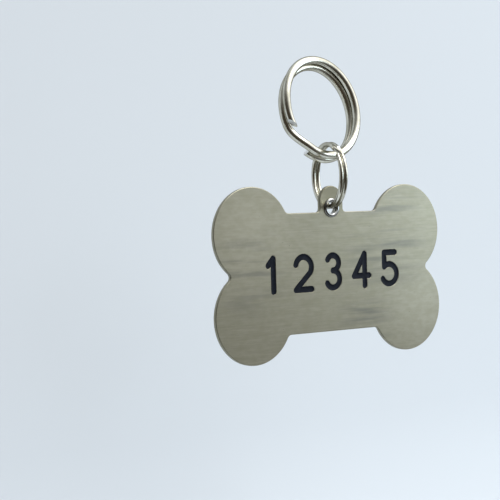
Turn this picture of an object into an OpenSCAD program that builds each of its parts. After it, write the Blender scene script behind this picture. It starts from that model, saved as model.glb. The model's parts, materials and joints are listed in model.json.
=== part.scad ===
// Bone-shaped pet id tag. It hangs on a small split ring, and that on a large split ring.
// Millimetres. The origin is the hang point, at the inside top of the large ring, where a
// collar's loop bears. +Z is up, the engraved face looks to -Y, and X runs along the tag.

/* [Tag plate] */
// Width of the bone outline
tag_w = 44.8; // [40:0.1:50]
// Height of the bone outline, over the lobes
tag_h = 26.3; // [25:0.1:28]
// Radius of each of the four lobes
lobe_r = 7.1; // [6.7:0.05:7.7]
// Height of the straight shank between the lobes
shank_h = 18.2; // [16:0.2:20]
// Thickness of the sheet metal
tag_t = 0.6; // [0.5:0.05:1.1]
// Rounding where two lobes meet at an end
valley_r = 0.7; // [0.4:0.1:1.5]
// Rounding where a lobe meets the shank
shoulder_r = 0.9; // [0.4:0.1:1.5]

/* [Lug] */
// Width of the lug
lug_w = 4.6; // [4.2:0.1:5.6]
// Height of the lug above the shank
lug_rise = 4; // [3.6:0.1:4.6]
// Rounding at the foot of the lug
lug_foot_r = 0.6; // [0.3:0.1:1]
// Height of the hole's centre above the top edge of the shank
hole_rise = 0.65; // [0.3:0.05:1.2]

/* [Eyelet] */
// Clearance between the small ring's wires and the eyelet's bore
bore_clear = 0.2; // [0.16:0.01:0.3]
// Wall of the eyelet's barrel
barrel_wall = 0.2; // [0.12:0.02:0.3]
// Width of the rolled rim, from the bore to its outer edge
rim_w = 0.54; // [0.4:0.02:0.7]
// Clearance between the barrel and the hole in the lug
barrel_gap = 0.02; // [0.01:0.01:0.06]

/* [Numerals] */
// Height of the engraved numerals
num_h = 5.85; // [5:0.05:7]
// Width of one numeral
num_w = 4; // [3.6:0.1:4.4]
// Distance from one numeral to the next
num_pitch = 5.8; // [5.2:0.1:6.4]
// Width of the engraved stroke
pen_w = 0.94; // [0.7:0.02:1.1]
// Depth of the engraved groove
groove_depth = 0.25; // [0.15:0.05:0.4]
// How far the enamel stays below the face
fill_recess = 0.04; // [0.02:0.01:0.1]
// Clearance between the enamel and the walls of its groove
fill_gap = 0.02; // [0.01:0.01:0.04]

/* [Small split ring] */
// Outer diameter of the small ring
small_od = 10; // [9.2:0.1:12]
// Wire of the small ring
small_wire = 0.52; // [0.44:0.02:0.6]
// Gap between the two turns of the small ring
small_gap = 0.42; // [0.42:0.01:0.5]
// Length of wire along which the small ring crosses from turn to turn
small_cross = 3; // [2.8:0.1:3.6]

/* [Large split ring] */
// Outer diameter of the large ring
large_od = 16; // [15:0.1:20]
// Wire of the large ring
large_wire = 1.1; // [0.9:0.05:1.2]
// Gap between the two turns of the large ring
large_gap = 0.43; // [0.42:0.01:0.6]
// Length of wire along which the large ring crosses from turn to turn
large_cross = 5; // [4.8:0.1:6]

/* [Hanging] */
// Turn of the large ring about the vertical, degrees
large_turn = 9; // [0:1:20]
// Lean of the large ring, its top away from the viewer, degrees
large_lean = 12; // [0:1:20]
// Turn of the small ring's plane away from square to the tag, degrees
small_turn = -14; // [-16:1:0]
// Clearance between the two rings as the small one swings
ring_clear = 0.12; // [0.05:0.01:0.3]
// Drop of the bore's centre below the middle of the wires that carry it
hang_drop = 0.14; // [0.04:0.02:0.16]

/* [Hidden] */

// One overrun serves every cut
overrun = 1;
// How far a rounding circle bites into the curves that it joins, so that they cross
blend_bite = 0.01;
// Extra radius of an engraved stroke where the cutter dwells, at its ends and corners
pen_dwell = 0.01;
round_steps = 96;

// Wound rings: a loop has 24 sections of 6 sides, and some of them share out the crossing
loop_steps = 24;
cross_steps = 5;
tube_sides = 6;
// Where each ring's front turn ends, as an angle anticlockwise from its right-hand side
large_end_at = 208;
small_end_at = 118;

large_mean_r = (large_od - large_wire) / 2;
small_mean_r = (small_od - small_wire) / 2;
large_pitch = large_wire + large_gap;
small_pitch = small_wire + small_gap;

// Outline of the plate
lobe_x = tag_w / 2 - lobe_r;
lobe_z = tag_h / 2 - lobe_r;
shank_top = shank_h / 2;
hole_z = shank_top + hole_rise;
lug_round_z = shank_top + lug_rise - lug_w / 2;

// Eyelet
bore_r = (small_pitch + small_wire) / 2 + bore_clear;
barrel_r = bore_r + barrel_wall;

// Places, worked out downwards from the hang point
large_up = [-sin(large_turn) * sin(large_lean), cos(large_turn) * sin(large_lean), cos(large_lean)];
large_centre = -(large_mean_r - large_wire / 2) * large_up;
swing_pin = large_centre - large_mean_r * large_up;
ring_seat = (large_wire + large_pitch) / 2 + ring_clear;
small_centre = swing_pin - [0, 0, small_mean_r - small_wire / 2 - ring_seat];
tag_pin = small_centre - [0, 0, small_mean_r];
tag_centre = tag_pin - [0, 0, hang_drop + hole_z];

// Half sizes of a numeral, to the middle of the stroke
num_x = (num_w - pen_w) / 2;
num_z = (num_h - pen_w) / 2;
// Shapes of the numerals, as shares of those half sizes
one_flag_share = 0.62;
one_flag_drop_share = 0.42;
three_top_share = 0.47;
four_stem_share = 0.42;
four_bar_share = 0.38;
five_bar_share = 0.8;
// Where the numerals' arcs start and end, in degrees
two_start = 165;
two_end = -38;
three_start = 152;
five_stem_at = 132;
five_end = -152;

// A split ring is one wire: a turn in front, a smooth crossing, and a turn behind it

// Degrees of the ring that the crossing takes
function cross_angle(length, mean_r) = 180 / PI * length / mean_r;

// Degrees travelled along the wire at each of its sections
function wire_angles(crossing) =
    let (turn = 360 - crossing, plain_steps = loop_steps - cross_steps)
    concat([for (i = [0 : plain_steps - 1]) turn * i / plain_steps],
           [for (i = [0 : cross_steps - 1]) turn + crossing * i / cross_steps],
           [for (i = [0 : plain_steps]) 360 + turn * i / plain_steps]);

// Height of the wire along the ring's axis, for the share of the crossing that lies behind it
function wire_rise(crossed, pitch) = pitch / 2 * cos(180 * min(max(crossed, 0), 1));

// Points along the middle of the wire, clockwise as seen from the front
function wire_path(mean_r, pitch, crossing, end_at) =
    [for (a = wire_angles(crossing))
        [mean_r * cos(end_at - a), mean_r * sin(end_at - a), wire_rise(1 + (a - 360) / crossing, pitch)]];

function unit(v) = v / norm(v);

// Points round each section of the wire, square to its path
function wire_sections(path, wire) =
    let (last = len(path) - 1)
    [for (i = [0 : last])
        let (along = unit(path[min(i + 1, last)] - path[max(i - 1, 0)]),
             aside = unit(cross(along, [path[i][0], path[i][1], 0])),
             outward = cross(aside, along))
        [for (k = [0 : tube_sides - 1])
            let (a = 360 * k / tube_sides)
            path[i] + wire / 2 * (cos(a) * outward + sin(a) * aside)]];

module wire_tube(sections) {
    last = len(sections) - 1;
    n = tube_sides;
    points = [for (section = sections) each section];
    sides = [for (i = [0 : last - 1], k = [0 : n - 1])
                let (a = i * n + k, b = i * n + (k + 1) % n)
                each [[a, b + n, b], [a, a + n, b + n]]];
    ends = [for (k = [1 : n - 2])
                each [[0, k, k + 1], [last * n, last * n + k + 1, last * n + k]]];
    polyhedron(points = points, faces = concat(sides, ends));
}

// Distance from a point to a straight stretch between two others
function to_stretch(point, from, to) =
    let (run = to - from, share = min(max((point - from) * run / (run * run), 0), 1))
    norm(point - from - share * run);

// Least gap of a wire to itself, over stretches that lie a quarter turn or more apart along it
function least_gap(path, wire) =
    let (apart = loop_steps / 4, last = len(path) - 1)
    min([for (i = [0 : last], j = [0 : last - 1])
            if (j > i + apart || j + 1 < i - apart) to_stretch(path[i], path[j], path[j + 1])]) - wire;

large_crossing = cross_angle(large_cross, large_mean_r);
small_crossing = cross_angle(small_cross, small_mean_r);
large_path = wire_path(large_mean_r, large_pitch, large_crossing, large_end_at);
small_path = wire_path(small_mean_r, small_pitch, small_crossing, small_end_at);
echo(large_split_ring_least_gap_mm = least_gap(large_path, large_wire));
echo(small_split_ring_least_gap_mm = least_gap(small_path, small_wire));

module large_split_ring() {
    color([0.82, 0.82, 0.8])
        translate(large_centre)
            rotate([90 - large_lean, 0, large_turn])
                wire_tube(wire_sections(large_path, large_wire));
}

module small_split_ring() {
    color([0.74, 0.74, 0.72])
        translate(small_centre)
            rotate([90, 0, 90 + small_turn])
                wire_tube(wire_sections(small_path, small_wire));
}

// Turns a flat outline into a sheet in the tag's plane, between two depths, the front one first
module sheet(front, back) {
    translate(tag_centre)
        rotate([90, 0, 0])
            translate([0, 0, back])
                linear_extrude(height = front - back) children();
}

// Fills the corner between a lobe and the shank up to an arc that is tangent to both
module shoulder_fill() {
    z = shank_top + shoulder_r;
    x = lobe_x - sqrt(pow(lobe_r + shoulder_r, 2) - pow(z - lobe_z, 2));
    difference() {
        polygon([[lobe_x, lobe_z], [x, z], [x, lobe_z]]);
        translate([x, z]) circle(r = shoulder_r, $fn = round_steps);
    }
}

// Widens the foot of the lug on one side with a quarter arc
module lug_foot() {
    x = lug_w / 2 + lug_foot_r;
    z = shank_top + lug_foot_r;
    difference() {
        polygon([[0, 0], [x, 0], [x, z], [0, z]]);
        translate([x, z]) circle(r = lug_foot_r, $fn = round_steps);
    }
}

module lobe() {
    translate([lobe_x, lobe_z]) circle(r = lobe_r, $fn = round_steps);
    shoulder_fill();
}

// Two lobes, with the valley between them filled up to an arc that blends into both
module half_outline() {
    valley = [lobe_x + sqrt(pow(lobe_r + valley_r - blend_bite, 2) - pow(lobe_z, 2)), 0];
    touch = [lobe_x, lobe_z] + lobe_r / (lobe_r + valley_r) * (valley - [lobe_x, lobe_z]);
    difference() {
        union() {
            lobe();
            mirror([0, 1]) lobe();
            translate([0, -touch[1]]) square([touch[0], 2 * touch[1]]);
        }
        translate(valley) circle(r = valley_r, $fn = round_steps);
    }
    lug_foot();
}

module bone_outline() {
    half_outline();
    mirror([1, 0]) half_outline();
    square([2 * lobe_x, shank_h], center = true);
    translate([0, lug_round_z]) circle(d = lug_w, $fn = round_steps);
    translate([-lug_w / 2, 0]) square([lug_w, lug_round_z]);
}

module tag_plate() {
    color([0.6, 0.6, 0.54])
        difference() {
            sheet(tag_t / 2, -tag_t / 2)
                difference() {
                    bone_outline();
                    translate([0, hole_z]) circle(r = barrel_r + barrel_gap, $fn = round_steps);
                }
            sheet(tag_t / 2 + overrun, tag_t / 2 - groove_depth)
                for (n = [1 : 5]) numeral(n, pen_w);
        }
}

// One side of the eyelet's rolled rim, in the half plane that is turned about the bore
module rim_profile() {
    intersection() {
        translate([bore_r + rim_w / 2, tag_t / 2]) circle(d = rim_w, $fn = round_steps);
        translate([bore_r, tag_t / 2]) square(rim_w);
    }
}

module eyelet() {
    color([0.88, 0.88, 0.86])
        translate(tag_centre + [0, 0, hole_z])
            rotate([90, 0, 0])
                rotate_extrude($fn = round_steps) {
                    translate([bore_r, -tag_t / 2]) square([barrel_wall, tag_t]);
                    rim_profile();
                    mirror([0, 1]) rim_profile();
                }
}

// The round end of a stroke, a little wider where the cutter dwells
module pen_dot(point, pen) {
    translate(point) circle(r = pen / 2 + pen_dwell, $fn = round_steps);
}

// Straight strokes from point to point
module pen_path(points, pen) {
    for (point = points) pen_dot(point, pen);
    for (i = [1 : len(points) - 1]) {
        run = points[i] - points[i - 1];
        translate((points[i] + points[i - 1]) / 2)
            rotate(atan2(run[1], run[0])) square([norm(run), pen], center = true);
    }
}

// A round stroke, anticlockwise from one angle to another
module pen_arc(centre, r, from, to, pen) {
    reach = 2 * (r + pen);
    corners = 8;
    translate(centre)
        intersection() {
            difference() {
                circle(r = r + pen / 2, $fn = round_steps);
                circle(r = r - pen / 2, $fn = round_steps);
            }
            polygon(concat([[0, 0]], [for (i = [0 : corners])
                let (a = from + (to - from) * i / corners)
                reach * [cos(a), sin(a)]]));
        }
}

function on_circle(centre, r, a) = centre + r * [cos(a), sin(a)];

module one(pen) {
    flag = [-one_flag_share * num_x, (1 - one_flag_drop_share) * num_z];
    pen_path([flag, [0, num_z], [0, -num_z]], pen);
}

module two(pen) {
    bowl = [0, num_z - num_x];
    pen_dot(on_circle(bowl, num_x, two_start), pen);
    pen_arc(bowl, num_x, two_end, two_start, pen);
    pen_path([on_circle(bowl, num_x, two_end), [-num_x, -num_z], [num_x, -num_z]], pen);
}

module three(pen) {
    top_r = three_top_share * num_z;
    low_r = num_z - top_r;
    top_bowl = [0, num_z - top_r];
    low_bowl = [0, low_r - num_z];
    pen_arc(top_bowl, top_r, -90, three_start, pen);
    pen_arc(low_bowl, low_r, -three_start, 90, pen);
    pen_dot(on_circle(top_bowl, top_r, three_start), pen);
    pen_dot(on_circle(low_bowl, low_r, 90), pen);
    pen_dot(on_circle(low_bowl, low_r, -three_start), pen);
}

module four(pen) {
    stem = four_stem_share * num_x;
    bar = -four_bar_share * num_z;
    pen_path([[stem, -num_z], [stem, num_z], [-num_x, bar], [num_x, bar]], pen);
}

module five(pen) {
    bowl = [0, num_x - num_z];
    foot = on_circle(bowl, num_x, five_stem_at);
    pen_path([foot, [foot[0], num_z], [five_bar_share * num_x, num_z]], pen);
    pen_arc(bowl, num_x, five_end, five_stem_at, pen);
    pen_dot(on_circle(bowl, num_x, five_end), pen);
}

// The n-th numeral in its place along the tag
module numeral(n, pen) {
    translate([(n - 3) * num_pitch, 0]) {
        if (n == 1) one(pen);
        if (n == 2) two(pen);
        if (n == 3) three(pen);
        if (n == 4) four(pen);
        if (n == 5) five(pen);
    }
}

// The dark enamel that fills the groove of the n-th numeral
module enamel(n) {
    color([0.09, 0.1, 0.13])
        sheet(tag_t / 2 - fill_recess, tag_t / 2 - groove_depth)
            numeral(n, pen_w - 2 * fill_gap);
}

large_split_ring();
small_split_ring();
tag_plate();
eyelet();
enamel(1);  // enamel_1
enamel(2);  // enamel_2
enamel(3);  // enamel_3
enamel(4);  // enamel_4
enamel(5);  // enamel_5
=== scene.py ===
# %% [markdown]
# A bone-shaped pet tag on two split rings.
# This lesson dresses a small metal object: a stamped and engraved tag, an eyelet, and the two
# split rings that it hangs from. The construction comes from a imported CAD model, the frame, whose
# bodies and hinges stay where they are. Every visible piece is made again here at the same place
# with finer curves, rounded edges and real finishes, and rides on the body that the CAD piece had.

import json
import math
from collections import Counter

import bmesh
import bpy
from mathutils import Matrix, Vector
from mathutils.geometry import delaunay_2d_cdt


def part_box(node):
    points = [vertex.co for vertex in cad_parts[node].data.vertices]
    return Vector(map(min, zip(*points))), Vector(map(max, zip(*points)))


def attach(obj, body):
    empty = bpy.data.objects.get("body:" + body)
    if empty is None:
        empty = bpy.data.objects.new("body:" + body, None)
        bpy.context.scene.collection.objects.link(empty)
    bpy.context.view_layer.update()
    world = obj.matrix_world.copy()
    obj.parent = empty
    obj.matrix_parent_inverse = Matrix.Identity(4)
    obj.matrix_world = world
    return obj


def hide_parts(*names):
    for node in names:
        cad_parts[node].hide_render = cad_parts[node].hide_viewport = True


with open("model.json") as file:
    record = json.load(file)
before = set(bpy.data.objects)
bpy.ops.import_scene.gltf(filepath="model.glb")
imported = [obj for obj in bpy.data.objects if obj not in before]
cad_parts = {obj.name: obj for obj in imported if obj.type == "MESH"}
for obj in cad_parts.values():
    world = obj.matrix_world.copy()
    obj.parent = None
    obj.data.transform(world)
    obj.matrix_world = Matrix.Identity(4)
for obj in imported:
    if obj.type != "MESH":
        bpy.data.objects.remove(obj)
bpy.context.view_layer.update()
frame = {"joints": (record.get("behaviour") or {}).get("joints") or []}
hinges = {joint["name"]: joint for joint in frame["joints"]}

# %% [markdown]
# The sizes.
# A tag like this is read in millimetres, so the sizes are written in them, and one factor turns
# them into Blender's metres. They are the sizes that the CAD model has. Places are not typed:
# the hinges and the boxes of the frame say where the pieces hang.

# %% Sizes in millimetres
MM = 0.001

tag_w = 44.8
tag_h = 26.3
lobe_r = 7.1
shank_h = 18.2
tag_t = 0.6
valley_r = 0.7
shoulder_r = 0.9
lug_w = 4.6
lug_rise = 4.0
lug_foot_r = 0.6
hole_rise = 0.65
bore_r = 0.93
barrel_wall = 0.2
rim_w = 0.54
barrel_gap = 0.02

lobe_x = tag_w / 2 - lobe_r
lobe_z = tag_h / 2 - lobe_r
shank_top = shank_h / 2
hole_z = shank_top + hole_rise
hole_r = bore_r + barrel_wall + barrel_gap
print("hole above the middle of the tag, mm:", round(hole_z, 2))

# %% Places from the frame
tag_low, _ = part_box("tag_plate")
swing_pin = Vector(hinges["small_ring_swing"]["pos_m"])
tag_pin = Vector(hinges["tag_swing"]["pos_m"])
tag_centre = Vector((tag_pin.x, tag_pin.y, tag_low.z + tag_h / 2 * MM))
tag_face = Vector((tag_centre.x, tag_centre.y - tag_t / 2 * MM, tag_centre.z))
print("tag centre, mm:", [round(v / MM, 3) for v in tag_centre])

# %% [markdown]
# The camera.
# The view is a long lens from the left of the tag and hardly above it, rolled a little. The
# camera is placed by the direction from which it looks at a point near the tag's left lobes, and
# its rotation is built from three vectors, so that the roll needs no second object.

# %% Camera
view_azimuth = math.radians(-37.33)
view_elevation = math.radians(1.64)
view_roll = math.radians(-1.6)
view_distance = 221.4 * MM
view_target = tag_face + Vector((-15.85, 0, 3.91)) * MM
focal_px = 1513
picture_px = 500
sensor_mm = 36
clip_near_share = 0.05
clip_far_share = 50

away = Vector((
    math.sin(view_azimuth) * math.cos(view_elevation),
    -math.cos(view_azimuth) * math.cos(view_elevation),
    math.sin(view_elevation),
))
level_right = (-away).cross(Vector((0, 0, 1))).normalized()
level_up = level_right.cross(-away)
rolled_right = level_right * math.cos(view_roll) + level_up * math.sin(view_roll)
rolled_up = -level_right * math.sin(view_roll) + level_up * math.cos(view_roll)

camera = bpy.data.objects.new("camera", bpy.data.cameras.new("camera"))
bpy.context.scene.collection.objects.link(camera)
camera.data.sensor_width = sensor_mm
camera.data.lens = focal_px / picture_px * sensor_mm
camera.data.clip_start = view_distance * clip_near_share
camera.data.clip_end = view_distance * clip_far_share
turn = Matrix((rolled_right, rolled_up, away)).transposed()
camera.matrix_world = Matrix.Translation(view_target + away * view_distance) @ turn.to_4x4()
bpy.context.scene.camera = camera
bpy.context.scene.view_settings.view_transform = "Standard"
print("camera at, mm:", [round(v / MM, 1) for v in camera.matrix_world.translation])

# %% [markdown]
# The backdrop and the light.
# The tag hangs in front of a pale wall that runs down into a floor. The wall is far enough back
# for the tag to swing without touching it. Rather more than half of its brightness is its own
# light, for camera and mirror rays alone, so that it stays even. The rest is lit, so that it
# takes a soft shadow. From behind it is clear, and the object shows through. Every material here
# is made of nodes, so a few helpers come first.

# %% Node helpers
def new_material(name):
    material = bpy.data.materials.new(name)
    material.use_nodes = True
    material.node_tree.nodes.clear()
    return material, material.node_tree


def feed(tree, socket, value):
    """Gives an input its value, or joins it to the output that the value comes from."""
    if isinstance(value, bpy.types.NodeSocket):
        tree.links.new(value, socket)
    else:
        socket.default_value = value


def add_node(tree, kind, *terms, **settings):
    """Adds a node: settings are its properties or its inputs by name, terms its first inputs."""
    node = tree.nodes.new(kind)
    for key, value in settings.items():
        if key in node.bl_rna.properties:
            setattr(node, key, value)
        else:
            feed(tree, node.inputs[key.replace("_", " ")], value)
    for socket, value in zip(node.inputs, terms):
        feed(tree, socket, value)
    return node


def calculate(tree, operation, *terms, clamp=False):
    """One Math node: each term is a number or the socket that it comes from."""
    return add_node(tree, "ShaderNodeMath", *terms, operation=operation, use_clamp=clamp).outputs[0]


def map_range(tree, value, **settings):
    """A number from 0 to 1, unless the settings say otherwise, for a value in a given range."""
    return add_node(tree, "ShaderNodeMapRange", Value=value, **settings).outputs["Result"]


def blend_colour(tree, mask, low, high):
    """Mixes two colours, each of them three numbers or a socket, by a mask."""
    mix = add_node(tree, "ShaderNodeMix", data_type="RGBA")
    ends = [socket for socket in mix.inputs if socket.type == "RGBA"]
    for socket, colour in zip(ends, (low, high)):
        feed(tree, socket, (*colour, 1) if isinstance(colour, tuple) else colour)
    feed(tree, mix.inputs["Factor"], mask)
    return next(socket for socket in mix.outputs if socket.type == "RGBA")


# %% Shape of the backdrop
wall_gap = 4 * MM
swing_reach = swing_pin.z - tag_low.z
wall_y = swing_pin.y + swing_reach + wall_gap
wall_top = 110 * MM
wall_half_w = 230 * MM
floor_z = tag_low.z - 45 * MM
floor_depth = 75 * MM
cove_r = 30 * MM
cove_steps = 16

profile = [(wall_y, wall_top)]
for i in range(cove_steps + 1):
    angle = math.pi / 2 * i / cove_steps
    profile.append((wall_y - cove_r + cove_r * math.cos(angle),
                    floor_z + cove_r - cove_r * math.sin(angle)))
profile.append((wall_y - floor_depth, floor_z))
backdrop_mesh = bpy.data.meshes.new("backdrop")
corners = [(side * wall_half_w, y, z) for y, z in profile for side in (-1, 1)]
strips = [(2 * i, 2 * i + 2, 2 * i + 3, 2 * i + 1) for i in range(len(profile) - 1)]
backdrop_mesh.from_pydata(corners, [], strips)
backdrop_mesh.polygons.foreach_set("use_smooth", [True] * len(strips))
backdrop = bpy.data.objects.new("backdrop", backdrop_mesh)
bpy.context.scene.collection.objects.link(backdrop)
print("wall at y, mm:", round(wall_y / MM, 1))

# %% Plaster
wall_colour = (0.71, 0.765, 0.815, 1)
own_light_share = 0.6

plaster, tree = new_material("plaster")
rays = add_node(tree, "ShaderNodeLightPath").outputs
seen = calculate(tree, "MAXIMUM", rays["Is Camera Ray"], rays["Is Glossy Ray"])
glow = calculate(tree, "MULTIPLY", seen, own_light_share)
lit = add_node(tree, "ShaderNodeBsdfDiffuse", Color=wall_colour)
own_light = add_node(tree, "ShaderNodeEmission", Color=wall_colour, Strength=1.0)
wall = add_node(tree, "ShaderNodeMixShader", glow, lit.outputs[0], own_light.outputs[0])
clear = add_node(tree, "ShaderNodeBsdfTransparent")
from_behind = add_node(tree, "ShaderNodeNewGeometry").outputs["Backfacing"]
shown = add_node(tree, "ShaderNodeMixShader", from_behind, wall.outputs[0], clear.outputs[0])
add_node(tree, "ShaderNodeOutputMaterial", shown.outputs[0])
backdrop_mesh.materials.append(plaster)
print("plaster:", len(tree.nodes), "nodes")

# %% [markdown]
# Polished wire is only as good as what it mirrors. So the world is a room: bright and cool at
# the upper right, where the window is, brown and dark at the lower left, and plain between them.
# Each side fades in between two cosines of the angle to its middle. Two soft lamps, the window
# and a weaker cool one from the side, give the plate its gentle slope from dark to light.

# %% The room that the metal mirrors
light_from = Vector((0.55, -0.35, 0.75)).normalized()
light_starts, light_full = 0.45, 1.0
dark_from = Vector((-0.55, -0.50, -0.67)).normalized()
dark_starts, dark_full = 0.05, 0.60
room_plain = (0.30, 0.31, 0.32)
room_dark = (0.062, 0.053, 0.040)
room_bright = (1.95, 1.98, 2.0)


def towards(tree, direction, starts, full):
    """How far a ray comes from a direction: 0 before the first cosine, 1 past the full one."""
    ray = add_node(tree, "ShaderNodeTexCoord").outputs["Generated"]
    facing = add_node(tree, "ShaderNodeVectorMath", ray, direction, operation="DOT_PRODUCT")
    return map_range(tree, facing.outputs["Value"], interpolation_type="SMOOTHSTEP",
                     From_Min=starts, From_Max=full)


world = bpy.data.worlds.new("room")
bpy.context.scene.world = world
world.use_nodes = True
tree = world.node_tree
tree.nodes.clear()
dark_side = towards(tree, dark_from, dark_starts, dark_full)
light_side = towards(tree, light_from, light_starts, light_full)
view = blend_colour(tree, dark_side, room_plain, room_dark)
view = blend_colour(tree, light_side, view, room_bright)
room = add_node(tree, "ShaderNodeBackground", Color=view, Strength=1.0)
add_node(tree, "ShaderNodeOutputWorld", room.outputs[0])
print("room:", len(tree.nodes), "nodes")


# %% Lamps
def soft_lamp(name, direction, distance, width, power, colour):
    """A square lamp that looks at the tag: metres, watts, and a direction from the tag."""
    lamp = bpy.data.lights.new(name, "AREA")
    lamp.shape = "RECTANGLE"
    lamp.size = width
    lamp.size_y = width
    lamp.energy = power
    lamp.color = colour
    holder = bpy.data.objects.new(name, lamp)
    bpy.context.scene.collection.objects.link(holder)
    direction = Vector(direction).normalized()
    holder.location = tag_centre + direction * distance
    holder.rotation_mode = "QUATERNION"
    holder.rotation_quaternion = direction.to_track_quat("Z", "Y")
    print(name, "at, mm:", [round(v / MM) for v in holder.location])


soft_lamp("window", direction=(0.50, -0.55, 0.95), distance=0.30, width=0.12,
          power=0.45, colour=(0.98, 0.99, 1.0))
soft_lamp("side window", direction=(0.86, -0.50, 0.15), distance=0.15, width=0.06,
          power=0.046, colour=(0.70, 0.87, 1.0))

# %% [markdown]
# The finishes.
# A picture of metal could be wrapped round each piece, but it would stretch along the wires. So
# every finish is worked out from the place on the object, out of four effects, each a node group:
# a grain that is drawn out in one direction, as brushing leaves it; a soft cloudiness, as from
# handling; fine pits; and a round patch, for what differs from place to place. Each group gives
# masks alone, and every material turns them into its own colour and gloss.

# %% Group helpers
def new_group(name, inputs, outputs):
    """A shader group whose inputs have default numbers or vectors, and whose outputs are masks."""
    group = bpy.data.node_groups.new(name, "ShaderNodeTree")
    for socket_name, value in inputs.items():
        kind = "NodeSocketVector" if isinstance(value, tuple) else "NodeSocketFloat"
        socket = group.interface.new_socket(socket_name, in_out="INPUT", socket_type=kind)
        socket.default_value = value
    for socket_name in outputs:
        group.interface.new_socket(socket_name, in_out="OUTPUT", socket_type="NodeSocketFloat")
    given = group.nodes.new("NodeGroupInput").outputs
    gives = group.nodes.new("NodeGroupOutput").inputs
    return group, given, gives


def on_object(group):
    return add_node(group, "ShaderNodeTexCoord").outputs["Object"]


def use_group(tree, group, **values):
    node = tree.nodes.new("ShaderNodeGroup")
    node.node_tree = group
    for key, value in values.items():
        feed(tree, node.inputs[key.replace("_", " ")], value)
    return node.outputs


# %% Drawn grain
coarse_share = 0.12

grain_group, given, gives = new_group(
    "drawn_grain", {"Stretch": (1, 1, 1), "Scale": 1000.0}, ["Fine", "Coarse"])
drawn = add_node(grain_group, "ShaderNodeVectorMath", on_object(grain_group), given["Stretch"],
                 operation="MULTIPLY").outputs[0]
coarse_scale = calculate(grain_group, "MULTIPLY", given["Scale"], coarse_share)
fine = add_node(grain_group, "ShaderNodeTexNoise", Vector=drawn, Scale=given["Scale"],
                Detail=4.0, Roughness=0.6)
coarse = add_node(grain_group, "ShaderNodeTexNoise", Vector=drawn, Scale=coarse_scale,
                  Detail=3.0, Roughness=0.55)
feed(grain_group, gives["Fine"], fine.outputs["Fac"])
feed(grain_group, gives["Coarse"], coarse.outputs["Fac"])
print("group:", grain_group.name)

# %% Handling clouds
cloud_group, given, gives = new_group(
    "handling_clouds", {"Size": 0.01, "Stretch": (1, 1, 1), "Low": 0.4, "High": 0.65}, ["Mask"])
drawn = add_node(cloud_group, "ShaderNodeVectorMath", on_object(cloud_group), given["Stretch"],
                 operation="MULTIPLY").outputs[0]
per_metre = calculate(cloud_group, "DIVIDE", 1.0, given["Size"])
cloud = add_node(cloud_group, "ShaderNodeTexNoise", Vector=drawn, Scale=per_metre,
                 Detail=3.0, Roughness=0.5)
mask = map_range(cloud_group, cloud.outputs["Fac"], interpolation_type="SMOOTHSTEP",
                 From_Min=given["Low"], From_Max=given["High"])
feed(cloud_group, gives["Mask"], mask)
print("group:", cloud_group.name)

# %% Pits
pit_group, given, gives = new_group("pits", {"Spacing": 0.001, "Radius Share": 0.2}, ["Mask"])
per_metre = calculate(pit_group, "DIVIDE", 1.0, given["Spacing"])
cells = add_node(pit_group, "ShaderNodeTexVoronoi", feature="F1", Vector=on_object(pit_group),
                 Scale=per_metre)
mask = map_range(pit_group, cells.outputs["Distance"], interpolation_type="SMOOTHSTEP",
                 From_Max=given["Radius Share"], To_Min=1.0, To_Max=0.0)
feed(pit_group, gives["Mask"], mask)
print("group:", pit_group.name)

# %% Round patches
patch_group, given, gives = new_group("round_patch", {"Centre": (0, 0, 0), "Reach": 0.01}, ["Mask"])
far = add_node(patch_group, "ShaderNodeVectorMath", on_object(patch_group), given["Centre"],
               operation="DISTANCE").outputs["Value"]
mask = map_range(patch_group, far, interpolation_type="SMOOTHSTEP",
                 From_Min=given["Reach"], From_Max=0.0)
feed(patch_group, gives["Mask"], mask)


def patches(tree, *places):
    """Round patches on the tag, each (x, z, reach) in millimetres from the middle of its face."""
    mask = 0.0
    for x, z, reach in places:
        centre = tag_face + Vector((x, 0, z)) * MM
        patch = use_group(tree, patch_group, Centre=centre, Reach=reach * MM)
        mask = calculate(tree, "MAXIMUM", patch["Mask"], mask)
    return mask


print("group:", patch_group.name)

# %% Steps that every finish uses
MICRON = 0.000001


def new_finish(name, **settings):
    material, tree = new_material(name)
    shader = add_node(tree, "ShaderNodeBsdfPrincipled", **settings)
    add_node(tree, "ShaderNodeOutputMaterial", shader.outputs[0])
    print("finish:", name)
    return material, tree, shader


def dress(tree, shader, colour, roughness, height, depth):
    """Gives a shader its colour, its roughness and a relief that is a few microns deep."""
    relief = add_node(tree, "ShaderNodeBump", Strength=1.0, Distance=depth, Height=height)
    feed(tree, shader.inputs["Base Color"], colour)
    feed(tree, shader.inputs["Roughness"], roughness)
    feed(tree, shader.inputs["Normal"], relief.outputs[0])


# %% [markdown]
# The tag is plain sheet, brushed along its length. Its grey is slightly olive, with fine lines
# that run sideways, darker smears where it was handled, and a few tiny pits. Two of its lobes are
# painted a little brighter, a painted highlight that stands in for the light that falls on them,
# and the lug is tarnished, where the small ring rubs on it. The coats are laid one over another,
# each by its own mask.

# %% Brushed tag metal
brushed_dark, brushed_light = (0.262, 0.247, 0.187), (0.385, 0.366, 0.285)
# Painted light: a lighter grey that is painted on two lobes as a painted highlight
painted_light_grey, painted_light_share = (0.46, 0.437, 0.35), 0.5
mottle_olive, mottle_share = (0.20, 0.20, 0.12), 0.22
smear_grey = (0.19, 0.187, 0.16)
tarnish_brown, tarnish_share = (0.16, 0.145, 0.095), 0.65
pit_grey = (0.10, 0.10, 0.09)

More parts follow.
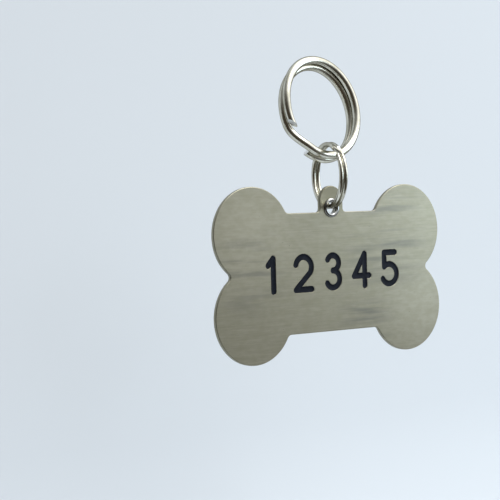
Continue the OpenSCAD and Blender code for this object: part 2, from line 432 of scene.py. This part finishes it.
tag_metal, tree, shader = new_finish("brushed_tag_metal", Metallic=1.0)
grain = use_group(tree, grain_group, Stretch=(0.045, 1, 1), Scale=6000.0)
smear = use_group(tree, cloud_group, Size=0.0019, Stretch=(0.13, 1, 1.5), Low=0.44, High=0.72)
mottle = use_group(tree, cloud_group, Size=0.0007, Stretch=(0.5, 1, 1), Low=0.3, High=0.72)
pits = use_group(tree, pit_group, Spacing=0.0016, Radius_Share=0.055)
rubbed = patches(tree, (11, 5.5, 13), (-16, 0.5, 9), (7, -7, 8))
# Painted light: round patches where two lobes are painted lighter, as if more light fell there
painted_light_lobes = patches(tree, (-16, 7, 12), (18, -6, 12))
lug = patches(tree, (0, 13, 6))

coat = blend_colour(tree, grain["Fine"], brushed_dark, brushed_light)
for mask, share, colour in (
    # the first coat is painted light, a painted highlight on two lobes
    (painted_light_lobes, painted_light_share, painted_light_grey),
    (mottle["Mask"], mottle_share, mottle_olive),
    (rubbed, smear["Mask"], smear_grey),
    (lug, tarnish_share, tarnish_brown),
):
    coat = blend_colour(tree, calculate(tree, "MULTIPLY", mask, share), coat, colour)
coat = blend_colour(tree, pits["Mask"], coat, pit_grey)
dress(tree, shader, coat, map_range(tree, grain["Coarse"], To_Min=0.37, To_Max=0.47),
      grain["Fine"], 4 * MICRON)

# %% [markdown]
# The rings are steel wire under polished nickel: almost white where they catch the window,
# brown where they mirror the room, with a little roughness and a fine hammered grain left from
# tumbling. Where the wire was cut it is dull steel. The eyelet is the same kind of nickel, worn
# greyer.

# %% Ring nickel
nickel_bright, nickel_worn = (0.72, 0.70, 0.61), (0.50, 0.48, 0.395)

ring_metal, tree, shader = new_finish(
    "ring_nickel", Metallic=1.0, Specular_Tint=(0.22, 0.19, 0.15, 1))
grain = use_group(tree, grain_group, Scale=5000.0)
haze = use_group(tree, cloud_group, Size=0.003, Low=0.35, High=0.7)["Mask"]
dress(tree, shader, blend_colour(tree, haze, nickel_bright, nickel_worn),
      map_range(tree, haze, To_Min=0.15, To_Max=0.27), grain["Fine"], 10 * MICRON)

# %% Cut wire
steel_dull, steel_pale = (0.74, 0.74, 0.72), (0.90, 0.90, 0.88)

cut_metal, tree, shader = new_finish("cut_wire", Metallic=1.0)
grain = use_group(tree, grain_group, Stretch=(1, 0.2, 1), Scale=7000.0)
dress(tree, shader, blend_colour(tree, grain["Fine"], steel_dull, steel_pale),
      0.5, grain["Fine"], 20 * MICRON)

# %% Eyelet nickel
eyelet_grey, eyelet_worn = (0.40, 0.40, 0.39), (0.20, 0.20, 0.19)

eyelet_metal, tree, shader = new_finish("eyelet_nickel", Metallic=1.0)
grain = use_group(tree, grain_group, Scale=6000.0)
haze = use_group(tree, cloud_group, Size=0.0012, Low=0.4, High=0.7)["Mask"]
dress(tree, shader, blend_colour(tree, haze, eyelet_grey, eyelet_worn),
      map_range(tree, haze, To_Min=0.08, To_Max=0.2), grain["Fine"], 8 * MICRON)

# %% [markdown]
# The numerals are filled with blue-black enamel that has shrunk a little as it dried. It is a
# plain paint, not a metal, with a soft gloss and a faintly uneven surface.

# %% Enamel
enamel_dark, enamel_pale = (0.004, 0.006, 0.012), (0.010, 0.013, 0.022)

enamel_paint, tree, shader = new_finish("blue_black_enamel", Specular_IOR_Level=0.1)
grain = use_group(tree, grain_group, Scale=3500.0)
speck = use_group(tree, cloud_group, Size=0.0005, Low=0.45, High=0.75)["Mask"]
dress(tree, shader, blend_colour(tree, speck, enamel_dark, enamel_pale),
      map_range(tree, speck, To_Min=0.42, To_Max=0.6), grain["Coarse"], 40 * MICRON)

# %% [markdown]
# The split rings.
# A split ring is one wire wound twice round: a turn in front, a turn behind, and a short slant
# where it passes from one to the other. Both rings follow the same rule, so one tree of geometry
# nodes makes them. It bends a straight line into the winding, sweeps a round section along it,
# and caps the cut ends, which also get their own finish. The turn behind may have slipped down
# a little and be a little narrower, and then the two are closer along the axis, so that they
# still touch all round. Every length in the tree is in metres.

# %% Inputs of the split ring
def new_tree(name, inputs):
    """A Geometry Nodes tree, given the kind of each of its inputs."""
    tree = bpy.data.node_groups.new(name, "GeometryNodeTree")
    for in_out in ("OUTPUT", "INPUT"):
        tree.interface.new_socket("Geometry", in_out=in_out, socket_type="NodeSocketGeometry")
    for socket_name, kind in inputs.items():
        tree.interface.new_socket(socket_name, in_out="INPUT", socket_type="NodeSocket" + kind)
    given = tree.nodes.new("NodeGroupInput").outputs
    gives = tree.nodes.new("NodeGroupOutput").inputs
    return tree, given, gives


ring_numbers = (
    "Mean Radius", "Wire", "Pitch", "Drop", "Flare", "Crossing", "End Gap", "Front End",
    "End Chamfer", "Front Slant", "Rear Slant",
)
ring_tree, given, gives = new_tree("split_ring", {
    **dict.fromkeys(ring_numbers, "Float"),
    **dict.fromkeys(("Sections", "Sides"), "Int"),
    **dict.fromkeys(("Wire Metal", "Cut Metal"), "Material"),
})


def ring_node(kind, *terms, **settings):
    return add_node(ring_tree, kind, *terms, **settings)


def ring_math(operation, *terms, clamp=False):
    return calculate(ring_tree, operation, *terms, clamp=clamp)


print("inputs of the split ring:", [socket.name for socket in given if socket.name])

# %% [markdown]
# First the tree works out how far each section has travelled round. The wire begins at the front
# end and runs clockwise. The sections crowd together near both ends, where the cuts need them,
# and the crossing starts one turn on, less the gap that is left between the two ends.

# %% Travel along the wire
full_turn = 2 * math.pi
crowd_share = 0.97

line = ring_node("GeometryNodeCurvePrimitiveLine").outputs["Curve"]
sections = ring_node("GeometryNodeResampleCurve", Curve=line, Count=given["Sections"])
share = ring_node("GeometryNodeSplineParameter").outputs["Factor"]
crossing = ring_math("DIVIDE", given["Crossing"], given["Mean Radius"])
end_gap = ring_math("DIVIDE", given["End Gap"], given["Mean Radius"])
wound = ring_math("SUBTRACT", 2 * full_turn, end_gap)
wave = ring_math("SINE", ring_math("MULTIPLY", share, full_turn))
crowding = ring_math("MULTIPLY", wave, crowd_share / full_turn)
travelled = ring_math("MULTIPLY", ring_math("SUBTRACT", share, crowding), wound)
bearing = ring_math("SUBTRACT", given["Front End"], travelled)
past = ring_math("SUBTRACT", travelled, ring_math("SUBTRACT", full_turn, end_gap))
crossed = ring_math("DIVIDE", past, crossing, clamp=True)
print("travel:", len(ring_tree.nodes), "nodes so far")

# %% Places on the winding
# The layer is one half in front and minus one half behind
layer = ring_math("MULTIPLY", ring_math("COSINE", ring_math("MULTIPLY", crossed, math.pi)), 0.5)
aside = ring_math("COSINE", bearing)
upright = ring_math("SINE", bearing)
slipped = ring_math("ADD", ring_math("MULTIPLY", given["Drop"], upright), given["Flare"])
pitch_squared = ring_math("POWER", given["Pitch"], 2.0)
apart = ring_math("SQRT", ring_math("SUBTRACT", pitch_squared, ring_math("POWER", slipped, 2.0)))
narrowed = ring_math("MULTIPLY", layer, given["Flare"])
lowered = ring_math("MULTIPLY", layer, given["Drop"])
radius = ring_math("ADD", given["Mean Radius"], narrowed)
spot = ring_node(
    "ShaderNodeCombineXYZ",
    ring_math("MULTIPLY", aside, radius),
    ring_math("ADD", ring_math("MULTIPLY", upright, radius), lowered),
    ring_math("MULTIPLY", layer, apart),
)
winding = ring_node("GeometryNodeSetPosition", Geometry=sections.outputs["Curve"],
                    Position=spot.outputs[0])
print("winding:", len(ring_tree.nodes), "nodes so far")

# %% [markdown]
# The wire narrows over the last fraction of a millimetre, as the cutter leaves it, and each end
# is cut at a slant. What is kept on the curve tells the swept corners how far they stand outside
# the middle of the wire, and they slip along it by a share of that.

# %% Cut ends
end_fullness = 0.86
slant_reach_share = 1.6

from_start = ring_math("MULTIPLY", travelled, given["Mean Radius"])
from_end = ring_math("SUBTRACT", ring_math("MULTIPLY", wound, given["Mean Radius"]), from_start)
fullness = map_range(ring_tree, ring_math("MINIMUM", from_start, from_end),
                     interpolation_type="SMOOTHERSTEP", From_Max=given["End Chamfer"],
                     To_Min=end_fullness)
slant_reach = ring_math("MULTIPLY", given["Wire"], slant_reach_share)


def nearness(distance):
    """From 1 at an end of the wire to 0 where its slant has died out."""
    return map_range(ring_tree, distance, interpolation_type="SMOOTHSTEP",
                     From_Max=slant_reach, To_Min=1.0, To_Max=0.0)


front = ring_math("MULTIPLY", nearness(from_start), given["Front Slant"])
rear = ring_math("MULTIPLY", nearness(from_end), given["Rear Slant"])
kept = ring_node("GeometryNodeCaptureAttribute")
keepsakes = {
    "Middle": ring_node("GeometryNodeInputPosition").outputs[0],
    "Along": ring_node("GeometryNodeInputTangent").outputs[0],
    "Outward": ring_node("ShaderNodeCombineXYZ", aside, upright).outputs[0],
    "Slant": ring_math("SUBTRACT", front, rear),
}
feed(ring_tree, kept.inputs["Geometry"], winding.outputs["Geometry"])
for keepsake, value in keepsakes.items():
    kept.capture_items.new("FLOAT" if value.type == "VALUE" else "VECTOR", keepsake)
    feed(ring_tree, kept.inputs[keepsake], value)
print("cut ends:", len(ring_tree.nodes), "nodes so far")

# %% The swept wire
section = ring_node("GeometryNodeCurvePrimitiveCircle", Resolution=given["Sides"],
                    Radius=ring_math("MULTIPLY", given["Wire"], 0.5))
sweep = ring_node("GeometryNodeCurveToMesh", Curve=kept.outputs["Geometry"],
                  Profile_Curve=section.outputs["Curve"], Scale=fullness, Fill_Caps=True)
here = ring_node("GeometryNodeInputPosition").outputs[0]
spoke = ring_node("ShaderNodeVectorMath", here, kept.outputs["Middle"], operation="SUBTRACT")
outside = ring_node("ShaderNodeVectorMath", spoke.outputs["Vector"], kept.outputs["Outward"],
                    operation="DOT_PRODUCT")
slip = ring_math("MULTIPLY", outside.outputs["Value"], kept.outputs["Slant"])
slipping = ring_node("ShaderNodeVectorMath", kept.outputs["Along"], operation="SCALE", Scale=slip)
cut = ring_node("GeometryNodeSetPosition", Geometry=sweep.outputs["Mesh"],
                Offset=slipping.outputs["Vector"])
print("swept wire:", len(ring_tree.nodes), "nodes so far")

# %% Its shading and finish
# The two caps are the only faces with more than four corners
side_corners = 4
corners_here = ring_node("GeometryNodeInputMeshFaceNeighbors").outputs["Vertex Count"]
is_cap = ring_node("FunctionNodeCompare", data_type="INT", operation="GREATER_THAN")
compared = [socket for socket in is_cap.inputs if socket.type == "INT"]
for socket, value in zip(compared, (corners_here, side_corners)):
    feed(ring_tree, socket, value)
is_side = ring_node("FunctionNodeBooleanMath", is_cap.outputs[0], operation="NOT")
smooth = ring_node("GeometryNodeSetShadeSmooth", Geometry=cut.outputs["Geometry"],
                   Shade_Smooth=is_side.outputs[0])
real = ring_node("GeometryNodeRealizeInstances", Geometry=smooth.outputs["Geometry"])
wire_metal = ring_node("GeometryNodeSetMaterial", Geometry=real.outputs["Geometry"],
                       Material=given["Wire Metal"])
end_metal = ring_node("GeometryNodeSetMaterial", Geometry=wire_metal.outputs["Geometry"],
                      Selection=is_cap.outputs[0], Material=given["Cut Metal"])
feed(ring_tree, gives["Geometry"], end_metal.outputs["Geometry"])
print("split ring tree:", len(ring_tree.nodes), "nodes")

# %% From a tree to a plain mesh
def grow(name, tree, values, place):
    """Runs a tree with the given values and keeps its result as a plain mesh, put in its place."""
    seed = bpy.data.objects.new(name + "_seed", bpy.data.meshes.new(name + "_seed"))
    bpy.context.scene.collection.objects.link(seed)
    modifier = seed.modifiers.new("grow", "NODES")
    modifier.node_group = tree
    for item in tree.interface.items_tree:
        if item.item_type == "SOCKET" and item.in_out == "INPUT" and item.name in values:
            modifier[item.identifier] = values[item.name]
    evaluated = seed.evaluated_get(bpy.context.evaluated_depsgraph_get())
    mesh = bpy.data.meshes.new_from_object(evaluated)
    bpy.data.objects.remove(seed)
    mesh.name = name
    mesh.transform(place)
    piece = bpy.data.objects.new(name, mesh)
    bpy.context.scene.collection.objects.link(piece)
    return piece


def check_closed(piece):
    """Counts open edges and measures the volume, which is negative if the faces point inwards."""
    form = bmesh.new()
    form.from_mesh(piece.data)
    open_edges = sum(not edge.is_manifold for edge in form.edges)
    volume = form.calc_volume(signed=True) / MM ** 3
    print(piece.name, "faces:", len(form.faces), "open edges:", open_edges,
          "volume, mm3:", round(volume, 2))
    form.free()


# %% Winding a ring
ring_sections = 640
ring_sides = 32
end_chamfer_share = 0.16
front_slant = 1.5
rear_slant = -0.3


def wind_ring(name, place, od, wire, pitch, cross, gap, end_at, drop=0.0, flare=0.0):
    """One split ring, from its lengths in millimetres and the angle where its wire begins."""
    ring = grow(name, ring_tree, {
        "Mean Radius": (od - wire) / 2 * MM, "Wire": wire * MM, "Pitch": pitch * MM,
        "Drop": drop * MM, "Flare": flare * MM, "Crossing": cross * MM, "End Gap": gap * MM,
        "Front End": end_at, "End Chamfer": end_chamfer_share * wire * MM,
        "Front Slant": front_slant, "Rear Slant": rear_slant,
        "Sections": ring_sections, "Sides": ring_sides,
        "Wire Metal": ring_metal, "Cut Metal": cut_metal,
    }, place)
    check_closed(ring)
    return ring


# %% [markdown]
# The large ring leans back and is turned a little, because it hangs by its top. Its place is
# worked out upwards from the hinge where the small ring hangs in it, and a small shift brings
# it where the photographed one rests.

# %% The large ring
large_od = 16.0
large_wire = 1.25
large_turn = math.radians(6)
large_lean = math.radians(11)
large_shift = Vector((-0.35, -0.1, -0.21))

large_mean_r = (large_od - large_wire) / 2
large_upright = Vector((0, math.sin(large_lean), math.cos(large_lean)))
large_up = Matrix.Rotation(large_turn, 3, "Z") @ large_upright
large_centre = swing_pin + (large_mean_r * large_up + large_shift) * MM
large_facing = (Matrix.Rotation(large_turn, 4, "Z")
                @ Matrix.Rotation(math.pi / 2 - large_lean, 4, "X"))
large_ring = wind_ring(
    "large_ring", Matrix.Translation(large_centre) @ large_facing, large_od, large_wire,
    pitch=1.255, cross=5.5, gap=4.9, end_at=math.radians(200.5), drop=0.55, flare=0.2)
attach(large_ring, "large_ring")
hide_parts("large_split_ring")

# %% [markdown]
# The small ring is seen almost edge on. Its lowest point is the hinge in the eyelet, and its
# turns lie side by side.

# %% The small ring
small_od = 10.2
small_wire = 0.66
small_turn = math.radians(-14)

small_mean_r = (small_od - small_wire) / 2
small_centre = tag_pin + Vector((0, 0, small_mean_r * MM))
small_facing = (Matrix.Rotation(math.pi / 2 + small_turn, 4, "Z")
                @ Matrix.Rotation(math.pi / 2, 4, "X"))
small_ring = wind_ring(
    "small_ring", Matrix.Translation(small_centre) @ small_facing, small_od, small_wire,
    pitch=0.72, cross=1.7, gap=1.3, end_at=math.radians(125))
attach(small_ring, "small_ring")
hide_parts("small_split_ring")

# %% [markdown]
# The tag.
# The plate is sheet metal, cut out and then tumbled, so its edge is rounded by a tenth of a
# millimetre or so. The numerals are cut with a round tool and filled with enamel. A boolean
# would leave that rounding and the lips of the grooves to chance. Here the face is divided by a
# Delaunay triangulation instead, which takes the outline, the hole and the edges of the strokes
# as lines that it has to keep, and each triangle then gets its own depth.

# %% Outline of the bone
edge_round = 0.13
edge_steps = 5
arc_step = math.radians(4)


def arc_points(centre, r, start, end):
    """Points along an arc, which runs clockwise where the end is the smaller angle."""
    steps = max(2, math.ceil(abs(end - start) / arc_step))
    return [
        Vector((centre[0] + r * math.cos(a), centre[1] + r * math.sin(a)))
        for a in (start + (end - start) * i / steps for i in range(steps + 1))
    ]


def bone_outline(inset):
    """The outline, anticlockwise from the lug: round parts shrink by the inset, hollows grow."""
    lug_z = shank_top + lug_rise - lug_w / 2
    foot = (-lug_w / 2 - lug_foot_r, shank_top + lug_foot_r)
    shoulder_z = shank_top + shoulder_r
    to_shoulder = math.sqrt((lobe_r + shoulder_r) ** 2 - (shoulder_z - lobe_z) ** 2)
    shoulder = (-lobe_x + to_shoulder, shoulder_z)
    valley = (-lobe_x - math.sqrt((lobe_r + valley_r) ** 2 - lobe_z ** 2), 0)
    lobe = (-lobe_x, lobe_z)
    mirrored_lobe = (-lobe_x, -lobe_z)
    to_lobe = math.atan2(lobe_z - shoulder_z, lobe[0] - shoulder[0])
    to_valley = math.atan2(valley[1] - lobe_z, valley[0] - lobe[0]) % full_turn
    quarter = math.pi / 2
    upper_left = (
        arc_points((0, lug_z), lug_w / 2 - inset, quarter, 2 * quarter)
        + arc_points(foot, lug_foot_r + inset, 0, -quarter)
        + arc_points(shoulder, shoulder_r + inset, -quarter, to_lobe)
        + arc_points(lobe, lobe_r - inset, to_lobe + 2 * quarter, to_valley)
        + arc_points(valley, valley_r + inset, to_valley - 2 * quarter, 0)
    )
    lower_left = (
        arc_points(valley, valley_r + inset, 0, 2 * quarter - to_valley)
        + arc_points(mirrored_lobe, lobe_r - inset,
                     4 * quarter - to_valley, 2 * quarter - to_lobe)
        + arc_points((shoulder[0], -shoulder_z), shoulder_r + inset, -to_lobe, quarter)
    )
    left = upper_left + lower_left[1:]
    right = [Vector((-p.x, p.y)) for p in reversed(left)]
    return left + right[:-1]


rim = bone_outline(0)
print("outline points:", len(rim), "size:", [round(2 * max(p[i] for p in rim), 2) for i in (0, 1)])

# %% [markdown]
# The numerals one to five stand in a row in the middle of the tag. Each is a few straight and
# round strokes. Everything about a groove follows from the distance to the nearest stroke: half
# a pen away is its wall, and a little further out is the lip that the cutter left.

# %% Strokes
num_h = 5.85
num_w = 4.0
num_pitch = 5.8
pen_w = 0.94
groove_depth = 0.25
num_x = (num_w - pen_w) / 2
num_z = (num_h - pen_w) / 2


def straight(*corners):
    corners = [Vector(corner) for corner in corners]
    pairs = [(a, b - a) for a, b in zip(corners, corners[1:])]

    def distance(spot):
        return min(
            (spot - a - run * min(max((spot - a).dot(run) / run.length_squared, 0), 1)).length
            for a, run in pairs
        )
    return distance


def on_circle(centre, r, degrees):
    angle = math.radians(degrees)
    return (centre[0] + r * math.cos(angle), centre[1] + r * math.sin(angle))


def bowed(centre, r, start, end):
    first, last = (Vector(on_circle(centre, r, degrees)) for degrees in (start, end))
    centre = Vector(centre)

    def distance(spot):
        spoke = spot - centre
        turned = math.degrees(math.atan2(spoke.y, spoke.x)) - start
        if turned % 360 <= end - start:
            return abs(spoke.length - r)
        return min((spot - first).length, (spot - last).length)
    return distance


print("strokes, mm:", pen_w, "wide and", groove_depth, "deep")

# %% The five numerals
top_r = 0.47 * num_z
low_r = num_z - top_r
two_bowl = (0, num_z - num_x)
five_bowl = (0, num_x - num_z)
five_foot = on_circle(five_bowl, num_x, 132)
four_stem = 0.42 * num_x
four_bar = -0.38 * num_z
numerals = [
    [straight((-0.62 * num_x, 0.58 * num_z), (0, num_z), (0, -num_z))],
    [bowed(two_bowl, num_x, -38, 165),
     straight(on_circle(two_bowl, num_x, -38), (-num_x, -num_z), (num_x, -num_z))],
    [bowed((0, num_z - top_r), top_r, -90, 152), bowed((0, low_r - num_z), low_r, -152, 90)],
    [straight((four_stem, -num_z), (four_stem, num_z), (-num_x, four_bar), (num_x, four_bar))],
    [straight(five_foot, (five_foot[0], num_z), (0.8 * num_x, num_z)),
     bowed(five_bowl, num_x, -152, 132)],
]
middle_numeral = len(numerals) // 2
print("numerals:", len(numerals), "over, mm:", round((len(numerals) - 1) * num_pitch + num_w, 1))


def to_stroke(index, spot):
    """Distance from a spot on the tag to the middle of the nearest stroke of one numeral."""
    own_spot = spot - Vector(((index - middle_numeral) * num_pitch, 0))
    return min(stroke(own_spot) for stroke in numerals[index])


# %% Lines of equal distance
grid_step = 0.09


def contour(index, levels):
    """Walks a fine grid over one numeral and joins up the spots where a level is crossed."""
    reach = Vector((num_x, num_z)) + Vector((1, 1)) * (max(levels) + grid_step)
    low = Vector(((index - middle_numeral) * num_pitch, 0)) - reach
    columns, rows = (math.ceil(2 * side / grid_step) for side in reach)
    height = {
        (i, j): to_stroke(index, low + Vector((i, j)) * grid_step)
        for i in range(columns + 1) for j in range(rows + 1)
    }
    points, links, found = [], [], {}

    def crossing(a, b, level):
        key = (min(a, b), max(a, b), level)
        if key not in found:
            share = (level - height[key[0]]) / (height[key[1]] - height[key[0]])
            found[key] = len(points)
            points.append(low + (Vector(key[0]) * (1 - share) + Vector(key[1]) * share) * grid_step)
        return found[key]

    for i in range(columns):
        for j in range(rows):
            cell = [(i, j), (i + 1, j), (i + 1, j + 1), (i, j + 1)]
            sides = list(zip(cell, cell[1:] + cell[:1]))
            for level in levels:
                cut = [s for s in sides if (height[s[0]] < level) != (height[s[1]] < level)]
                for (a, b), (c, d) in zip(cut[::2], cut[1::2]):
                    links.append((crossing(a, b, level), crossing(c, d, level)))
    return points, links


print("wall of the first numeral:", len(contour(0, [pen_w / 2])[0]), "points")

# %% Triangles between the lines
same_spot = 1e-6


def triangulate(loops, contours):
    """Fills the plane between closed loops and contours, all of whose links stay as edges."""
    points, links = [], []
    for loop in loops:
        first = len(points)
        points += loop
        links += [(first + i, first + (i + 1) % len(loop)) for i in range(len(loop))]
    for spots, pairs in contours:
        first = len(points)
        points += spots
        links += [(first + a, first + b) for a, b in pairs]
    spots, _, faces, *_ = delaunay_2d_cdt(points, links, [], 0, same_spot)
    return spots, faces


def middle_of(face, spots):
    return sum((spots[i] for i in face), Vector((0, 0))) / len(face)


print("bare outline:", len(triangulate([rim], [])[1]), "triangles")


# %% [markdown]
# The plate is put together from the front face with its grooves, the rounded edge, the back and
# the wall of the hole. The face stays flat shaded, so that it is truly flat, and the rounded
# edge is smooth.

# %% What lies where on the face
def inside(spot, loop):
    """Whether a spot lies inside a closed loop, by counting the sides that a ray crosses."""
    hits = 0
    for a, b in zip(loop, loop[1:] + loop[:1]):
        if (a.y > spot.y) != (b.y > spot.y):
            hits += spot.x < a.x + (b.x - a.x) * (spot.y - a.y) / (b.y - a.y)
    return hits % 2 == 1


def full_circle(centre, r, steps):
    return [
        Vector((centre[0] + r * math.cos(a), centre[1] + r * math.sin(a)))
        for a in (full_turn * i / steps for i in range(steps))
    ]


def numeral_near(spot):
    """The numeral whose groove could reach a spot on the tag, or none."""
    index = round(spot.x / num_pitch) + middle_numeral
    return index if 0 <= index < len(numerals) and abs(spot.y) < num_h else None


def groove_edge(spot):
    index = numeral_near(spot)
    return math.inf if index is None else to_stroke(index, spot) - pen_w / 2


print("groove from the middle of the tag, mm:", round(groove_edge(Vector((0, 0))), 2))

# %% Building the plate
lip_w = 0.045
lip_depth = 0.05
circle_steps = 96


def band_rows(form, rows):
    """Joins each closed row of corners to the next by a smooth band."""
    for upper, lower in zip(rows, rows[1:]):
        for i in range(len(upper)):
            j = (i + 1) % len(upper)
            form.faces.new([upper[i], upper[j], lower[j], lower[i]]).smooth = True


def build_plate():
    """The whole plate, with a line of corners where the parts meet, which are welded later."""
    form = bmesh.new()
    hole = full_circle((0, hole_z), hole_r, circle_steps)
    face_loop = bone_outline(edge_round)
    lines = [contour(index, [pen_w / 2, pen_w / 2 + lip_w]) for index in range(len(numerals))]
    spots, faces = triangulate([face_loop, hole], lines)

    edges = [groove_edge(spot) for spot in spots]
    lips = [lip_depth * min(max(1 - edge / lip_w, 0), 1) for edge in edges]
    face_corners = [form.verts.new((spot.x, depth, spot.y)) for spot, depth in zip(spots, lips)]
    floor_corners = {}

    def floor_corner(i):
        if i not in floor_corners:
            floor_corners[i] = form.verts.new((spots[i].x, groove_depth, spots[i].y))
        return floor_corners[i]

    walls = {}
    for face in faces:
        middle = middle_of(face, spots)
        if not inside(middle, face_loop) or inside(middle, hole):
            continue
        if groove_edge(middle) > 0:
            form.faces.new([face_corners[i] for i in face])
            continue
        form.faces.new([floor_corner(i) for i in face])
        for a, b in zip(face, face[1:] + face[:1]):
            walls[(a, b)] = (b, a) in walls
            walls[(b, a)] = walls[(a, b)]
    for a, b in [pair for pair, shared in walls.items() if not shared and pair[0] < pair[1]]:
        wall = [face_corners[a], face_corners[b], floor_corner(b), floor_corner(a)]
        form.faces.new(wall).smooth = True

    spots, faces = triangulate([face_loop, hole], [])
    back_corners = [form.verts.new((spot.x, tag_t, spot.y)) for spot in spots]
    for face in faces:
        middle = middle_of(face, spots)
        if inside(middle, face_loop) and not inside(middle, hole):
            form.faces.new([back_corners[i] for i in face])

    rounding = [math.pi / 2 * i / edge_steps for i in range(edge_steps + 1)]
    levels = [(edge_round * (1 - math.sin(a)), edge_round * (1 - math.cos(a))) for a in rounding]
    levels += [(inset, tag_t - depth) for inset, depth in reversed(levels)]
    bands = [(bone_outline(inset), depth) for inset, depth in levels]
    for loops in (bands, [(hole, 0), (hole, tag_t)]):
        rows = [[form.verts.new((p.x, depth, p.y)) for p in loop] for loop, depth in loops]
        band_rows(form, rows)
    return form


# %% Finishing a form
def finish_form(form, name, weld=2e-5):
    """Welds a form made in tag millimetres, turns its faces outwards and puts it on the tag."""
    bmesh.ops.delete(form, geom=[v for v in form.verts if not v.link_faces], context="VERTS")
    bmesh.ops.remove_doubles(form, verts=form.verts, dist=weld)
    bmesh.ops.recalc_face_normals(form, faces=form.faces)
    mesh = bpy.data.meshes.new(name)
    form.to_mesh(mesh)
    form.free()
    mesh.transform(Matrix.Translation(tag_face) @ Matrix.Scale(MM, 4))
    piece = bpy.data.objects.new(name, mesh)
    bpy.context.scene.collection.objects.link(piece)
    check_closed(piece)
    return piece


# %% The plate
plate = finish_form(build_plate(), "tag_body")
plate.data.materials.append(tag_metal)
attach(plate, "tag")
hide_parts("tag_plate")

# %% [markdown]
# The enamel of each numeral is its own piece. It stands a little below the face, and creeps up
# at the walls as it dries, so its surface is slightly hollow along the middle of each stroke.
# Lines of equal distance, closer together near the wall, carry that hollow. A triangle belongs
# to the enamel when its middle is near a stroke. Where two strokes meet, the walked line can
# leave a tiny notch, so a triangle with such neighbours on two sides belongs to it too.

# %% Surface of the enamel
fill_recess = 0.04
fill_gap = 0.02
fill_hollow = 0.045
fill_r = pen_w / 2 - fill_gap
fill_level_shares = (1, 0.93, 0.8, 0.6, 0.35)
fill_near_share = 0.99
fill_weld = 2e-4


def fill_depth(index, spot):
    share = min(to_stroke(index, spot) / fill_r, 1)
    return fill_recess + fill_hollow * (1 - share ** 2)


def fill_triangles(index):
    """The corners of one numeral's enamel, and its triangles without the rest of the plane."""
    levels = [fill_r * share for share in fill_level_shares]
    spots, faces = triangulate([], [contour(index, levels)])
    sides = [[frozenset(pair) for pair in zip(face, face[1:] + face[:1])] for face in faces]
    near = [to_stroke(index, middle_of(face, spots)) < fill_near_share * fill_r for face in faces]
    filled = Counter(side for own, is_near in zip(sides, near) if is_near for side in own)
    return spots, [face for face, own in zip(faces, sides) if sum(filled[s] for s in own) > 1]


print("enamel reaches, mm:", round(fill_r, 3), "from the middle of a stroke")

# %% Enamel in the grooves
for index in range(len(numerals)):
    spots, faces = fill_triangles(index)
    form = bmesh.new()
    upper = [form.verts.new((spot.x, fill_depth(index, spot), spot.y)) for spot in spots]
    lower = [form.verts.new((spot.x, groove_depth, spot.y)) for spot in spots]
    for face in faces:
        form.faces.new([upper[i] for i in face]).smooth = True
        form.faces.new([lower[i] for i in face])
    below = dict(zip(upper, lower))
    rims = [edge.verts for edge in form.edges if edge.is_boundary and edge.verts[0] in below]
    for a, b in rims:
        form.faces.new([a, b, below[b], below[a]])
    fill = finish_form(form, f"enamel_fill_{index + 1}", fill_weld)
    fill.data.materials.append(enamel_paint)
    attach(fill, "tag")
    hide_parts(f"enamel_{index + 1}")

# %% [markdown]
# The eyelet is a short tube of bright nickel, rolled over the plate on both sides. A bevelled
# cylinder would do if the rolls were round in section, but they are flatter than that. So its
# half section is worked out as a row of points and turned about the axis of the bore.

# %% Profile of the eyelet
eyelet_bore_r = 0.87
roll_r = bore_r + rim_w
roll_rise = rim_w / 2
roll_power = 0.8
roll_steps = 14
lathe_steps = 96


def rolled_profile():
    """Half section of the eyelet as (distance from its axis, depth), round the wall once."""
    crown = (eyelet_bore_r + roll_r) / 2
    half_w = (roll_r - eyelet_bore_r) / 2
    arc = [math.pi * i / roll_steps for i in range(roll_steps + 1)]
    front = [(crown - half_w * math.cos(a), -roll_rise * math.sin(a) ** roll_power) for a in arc]
    back = [(r, tag_t - depth) for r, depth in reversed(front)]
    barrel = bore_r + barrel_wall
    return front + [(barrel, 0), (barrel, tag_t)] + back


print("eyelet, mm:", round(2 * eyelet_bore_r, 2), "inside,", round(2 * roll_r, 2), "outside")

# %% The eyelet
form = bmesh.new()
rows = []
for r, depth in rolled_profile():
    circle = full_circle((0, hole_z), r, lathe_steps)
    rows.append([form.verts.new((p.x, depth, p.y)) for p in circle])
band_rows(form, rows + rows[:1])
eyelet = finish_form(form, "lug_eyelet")
eyelet.data.materials.append(eyelet_metal)
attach(eyelet, "tag")
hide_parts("eyelet")
